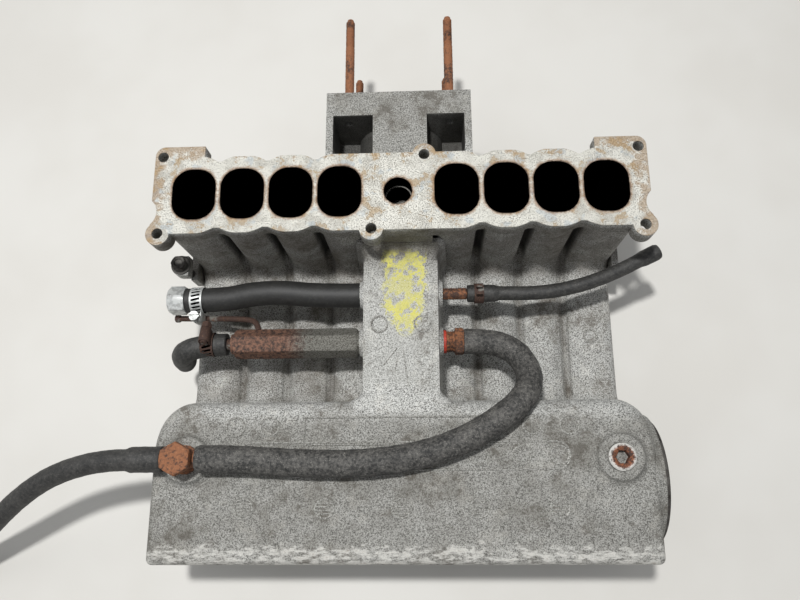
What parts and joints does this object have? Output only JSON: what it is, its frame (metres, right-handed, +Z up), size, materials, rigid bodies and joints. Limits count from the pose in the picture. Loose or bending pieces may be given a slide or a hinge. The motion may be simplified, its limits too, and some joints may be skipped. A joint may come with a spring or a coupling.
{
  "type": "intake manifold",
  "caption": "Cast upper intake manifold laid port face up: a row of oval runner ports, box plenum, centre air duct, throttle plate with studs, vacuum hoses and fittings.",
  "frame": {"origin": "middle of the resting plane under the centre duct", "axes": "+X along the port row to the right with the plenum nearest the viewer, +Y towards the throttle face, +Z up out of the port face"},
  "size_m": [0.6792, 0.5035, 0.15],
  "materials": {
    "cast_aluminium": "as cast, weathered, with a machined port face",
    "rusted_steel": "rusted",
    "corroded_steel": "dull, corroded",
    "bare_steel": "dull",
    "zinc_plate": "zinc plated, white bloom",
    "pressed_steel": "dark, worn to bare metal at the rim",
    "red_seal": "matt",
    "hose_rubber": "dusty, matt"
  },
  "bodies": {
    "manifold": {"adapter_seal": "red_seal", "bolt_lug": "cast_aluminium", "centre_duct": "cast_aluminium", "elbow_clamp_band": "corroded_steel", "elbow_clamp_housing": "corroded_steel", "elbow_hose": "hose_rubber", "extension_nipple": "rusted_steel", "free_hose": "hose_rubber", "heater_clamp_band": "zinc_plate", "heater_clamp_housing": "zinc_plate", "heater_hose": "hose_rubber", "heater_nipple": "bare_steel", "hexagon_extension": "rusted_steel", "hose_adapter": "rusted_steel", "hose_plug_bolt": "zinc_plate", "loop_hose": "hose_rubber", "lug_bolt": "corroded_steel", "lug_washer": "corroded_steel", "pipe_plug": "corroded_steel", "plenum": "cast_aluminium", "plenum_end_cap": "pressed_steel", "port_flange": "cast_aluminium", "runner_left_1": "cast_aluminium", "runner_left_2": "cast_aluminium", "runner_left_3": "cast_aluminium", "runner_left_4": "cast_aluminium", "runner_right_1": "cast_aluminium", "runner_right_2": "cast_aluminium", "runner_right_3": "cast_aluminium", "runner_right_4": "cast_aluminium", "side_ear_left": "cast_aluminium", "side_ear_right": "cast_aluminium", "small_hose": "hose_rubber", "small_nipple": "rusted_steel", "spring_clamp": "corroded_steel", "throttle_neck": "cast_aluminium", "throttle_studs": "rusted_steel", "vacuum_line": "corroded_steel", "vacuum_tee": "rusted_steel"},
    "heater_clamp_worm": {"heater_clamp_screw": "zinc_plate"},
    "elbow_clamp_worm": {"elbow_clamp_screw": "corroded_steel"}
  },
  "joints": [
    {"name": "heater_clamp_turn", "type": "hinge", "parent": "manifold", "child": "heater_clamp_worm", "pos_m": [-0.176, 0.0119, 0.087], "axis": [0, 0, 1], "continuous": true},
    {"name": "elbow_clamp_turn", "type": "hinge", "parent": "manifold", "child": "elbow_clamp_worm", "pos_m": [-0.164, -0.00634, 0.10219], "axis": [0, 0.9397, -0.342], "continuous": true}
  ]
}
